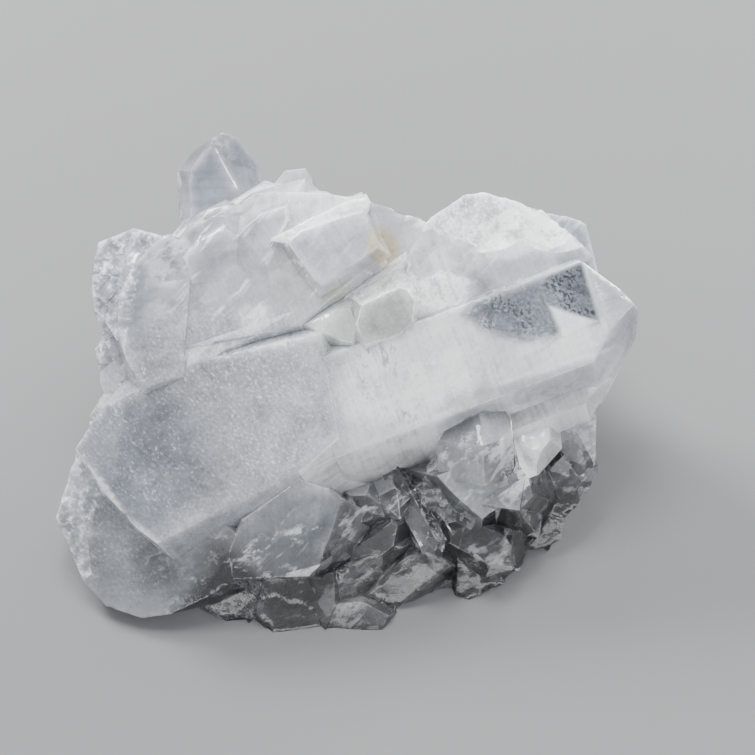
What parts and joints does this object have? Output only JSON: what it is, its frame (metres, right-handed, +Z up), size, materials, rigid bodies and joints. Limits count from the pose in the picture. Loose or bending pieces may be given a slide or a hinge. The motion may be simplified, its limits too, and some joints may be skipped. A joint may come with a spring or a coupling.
{
  "type": "quartz cluster",
  "caption": "Cluster of translucent quartz crystals grown together, one large crystal lying across smaller ones, resting on a flat broken root.",
  "frame": {"origin": "on the flat underside of the root, below the middle of the large crystal", "axes": "+X along the cluster's length towards the large crystal's tip, -Y towards the side that the broad crystal faces slope down to, +Z up"},
  "size_m": [0.1295, 0.0985, 0.0658],
  "materials": {
    "quartz": "milky to clear natural crystal faces with frosted breaks"
  },
  "bodies": {
    "root": {"quartz_cluster": "quartz"}
  },
  "joints": []
}
